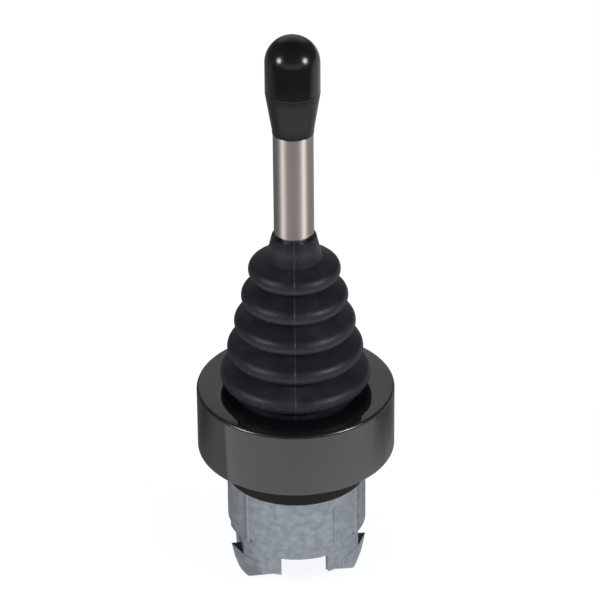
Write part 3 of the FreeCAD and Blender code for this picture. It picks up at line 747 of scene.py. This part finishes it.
def makeCamera():
    turn, elevation = camera["turn"], camera["elevation"]
    level = math.cos(elevation)
    ahead = Vector((math.sin(turn) * level, math.cos(turn) * level, -math.sin(elevation)))
    across = Vector((math.cos(turn), -math.sin(turn), 0))
    upward = across.cross(ahead)
    place = Vector((0, 0, bezelTop)) - ahead * camera["distance"]
    view = (ahead * camera["pixels"] + across * camera["aimAcross"] + upward * camera["aimUp"]).normalized()
    top = upward * math.cos(camera["roll"]) + across * math.sin(camera["roll"])
    side = view.cross(top).normalized()
    facing = Matrix((side, side.cross(view), -view)).transposed()
    obj = addObject("camera", bpy.data.cameras.new("camera"))
    obj.matrix_world = Matrix.Translation(place) @ facing.to_4x4()
    obj.data.lens = camera["lens"]
    obj.data.sensor_width = camera["sensor"]
    obj.data.clip_start = camera["near"]
    obj.data.clip_end = camera["far"]
    scene.camera = obj
    return ahead, across


def makeLamp(name, azimuth, size, power):
    # azimuth to the right, seen from the camera
    level = math.cos(lampRise)
    direction = Vector((0, 0, math.sin(lampRise))) + across * math.sin(azimuth) * level
    direction += toCamera * math.cos(azimuth) * level
    lamp = addObject(name, bpy.data.lights.new(name, "AREA"))
    lamp.data.shape = "DISK"
    lamp.data.size = size
    lamp.data.energy = power
    lamp.location = Vector((0, 0, lampAim)) + direction * lampDistance
    lamp.rotation_mode = "QUATERNION"
    lamp.rotation_quaternion = direction.to_track_quat("Z", "Y")


ahead, across = makeCamera()
toCamera = Vector((-ahead.x, -ahead.y, 0)).normalized()
for name, lamp in lamps.items():
    makeLamp(name, **lamp)


def rayKinds(tree):
    # rays from the camera, straight or through glass, and rays off a glossy surface
    rays = tree.node("ShaderNodeLightPath")
    direct = tree.term(rays.outputs["Is Camera Ray"]) + tree.term(rays.outputs["Is Transmission Ray"])
    return direct, tree.term(rays.outputs["Is Glossy Ray"])


worldLook = {
    "fill": 0.36, "wallLow": 0.08, "wallHigh": 0.52, "wallEdge": (0.82, 0.93), "topDim": 0.8,
    "topEdge": (0.6, 0.9), "front": 0.6, "frontEdge": (0.6, 0.95), "frontTop": (0.1, 0.45),
}


def makeWorld():
    # white for the camera, a plain studio for the reflections and the soft light
    look = worldLook
    world = bpy.data.worlds.new("studio")
    scene.world = world
    world.use_nodes = True
    tree = Tree(world.node_tree.nodes, world.node_tree.links)
    tree.nodes.clear()
    direct, glossy = rayKinds(tree)
    seen = direct.math("MINIMUM", 1)
    direction = tree.node("ShaderNodeTexCoord").outputs["Generated"]

    def along(vector):
        made = tree.node("ShaderNodeVectorMath", {"operation": "DOT_PRODUCT"}, {0: direction, 1: vector})
        return tree.term(made.outputs["Value"])

    rise = tree.term(tree.node("ShaderNodeSeparateXYZ", values={"Vector": direction}).outputs["Z"])
    backWall = along(Vector((ahead.x, ahead.y, -ahead.z))).step(*look["wallEdge"])
    wall = look["wallLow"] + (look["wallHigh"] - look["wallLow"]) * backWall
    front = look["front"] * along(toCamera).step(*look["frontEdge"]) * (1 - rise.step(*look["frontTop"]))
    mirrored = glossy * (wall * (1 - look["topDim"] * rise.step(*look["topEdge"])) + front)
    strength = seen + mirrored + look["fill"] * (1 - seen) * (1 - glossy)
    sky = tree.node("ShaderNodeBackground", values={
        "Color": (1, 1, 1, 1), "Strength": strength.math("MINIMUM", 1)})
    tree.node("ShaderNodeOutputWorld", values={"Surface": sky.outputs[0]})


floorLook = {
    "half": 1.5, "below": 0.02 * mm, "colour": (0.85, 0.85, 0.85, 1), "card": (0.02, 0.02, 0.02, 1),
    "roughness": 0.9, "glow": (0.955, 0.968, 1, 1), "glowStrength": 1.18, "glowShare": 0.8,
    "cardEdge": (80 * mm, 125 * mm), "middle": (-5 * mm, 5 * mm),
    "leftNear": 0.55, "leftNearEdge": (-14 * mm, -9 * mm), "leftFar": 0.36, "leftFarEdge": (-9 * mm, 34 * mm),
    "right": 0.82, "rightEdge": (-30 * mm, 36 * mm),
    "openReach": (88 * mm, 118 * mm), "openBehind": (-50 * mm, 10 * mm), "openLeft": 0.22, "openRight": 0.6,
}


def makeFloor():
    # glows white for the camera; glossy surfaces see it dark far out and behind, less dark where it is both
    look = floorLook
    mesh = bpy.data.meshes.new("floor")
    half = look["half"]
    level = floorHeight - look["below"]
    corners = [(-half, -half, level), (half, -half, level), (half, half, level), (-half, half, level)]
    mesh.from_pydata(corners, [], [(0, 1, 2, 3)])
    floor = addObject("floor", mesh)
    tree = newFinish("floor", {"Roughness": look["roughness"]})
    direct, glossy = rayKinds(tree)
    seen = (direct + glossy).math("MINIMUM", 1)
    reach = fromAxis(tree)
    behind = tree.x * math.sin(camera["turn"]) + tree.y * math.cos(camera["turn"])
    aside = tree.y * math.sin(camera["turn"]) - tree.x * math.cos(camera["turn"])
    left = aside.step(*look["middle"])
    right = 1 - left
    leftDim = look["leftNear"] * behind.step(*look["leftNearEdge"])
    leftDim += look["leftFar"] * behind.step(*look["leftFarEdge"])
    rightDim = look["right"] * behind.step(*look["rightEdge"])
    dark = (reach.step(*look["cardEdge"]) + leftDim * left + rightDim * right).math("MINIMUM", 1)
    farSide = reach.step(*look["openReach"]) * behind.step(*look["openBehind"])
    opened = farSide * (look["openLeft"] * left + look["openRight"] * right)
    card = glossy * dark * (1 - opened)
    feed(tree, "Base Color", mixColour(tree, card, look["colour"], look["card"]))
    glowColour = mixColour(tree, card, look["glow"], look["card"])
    glow = tree.node("ShaderNodeEmission", values={"Color": glowColour, "Strength": look["glowStrength"]})
    blend = tree.node("ShaderNodeMixShader", values=[
        look["glowShare"] * seen, tree.shader.outputs[0], glow.outputs[0]])
    tree.links.new(blend.outputs[0], tree.nodes["Material Output"].inputs["Surface"])
    mesh.materials.append(tree.material)


makeWorld()
makeFloor()
scene.view_settings.view_transform = "Standard"
print("studio ready")
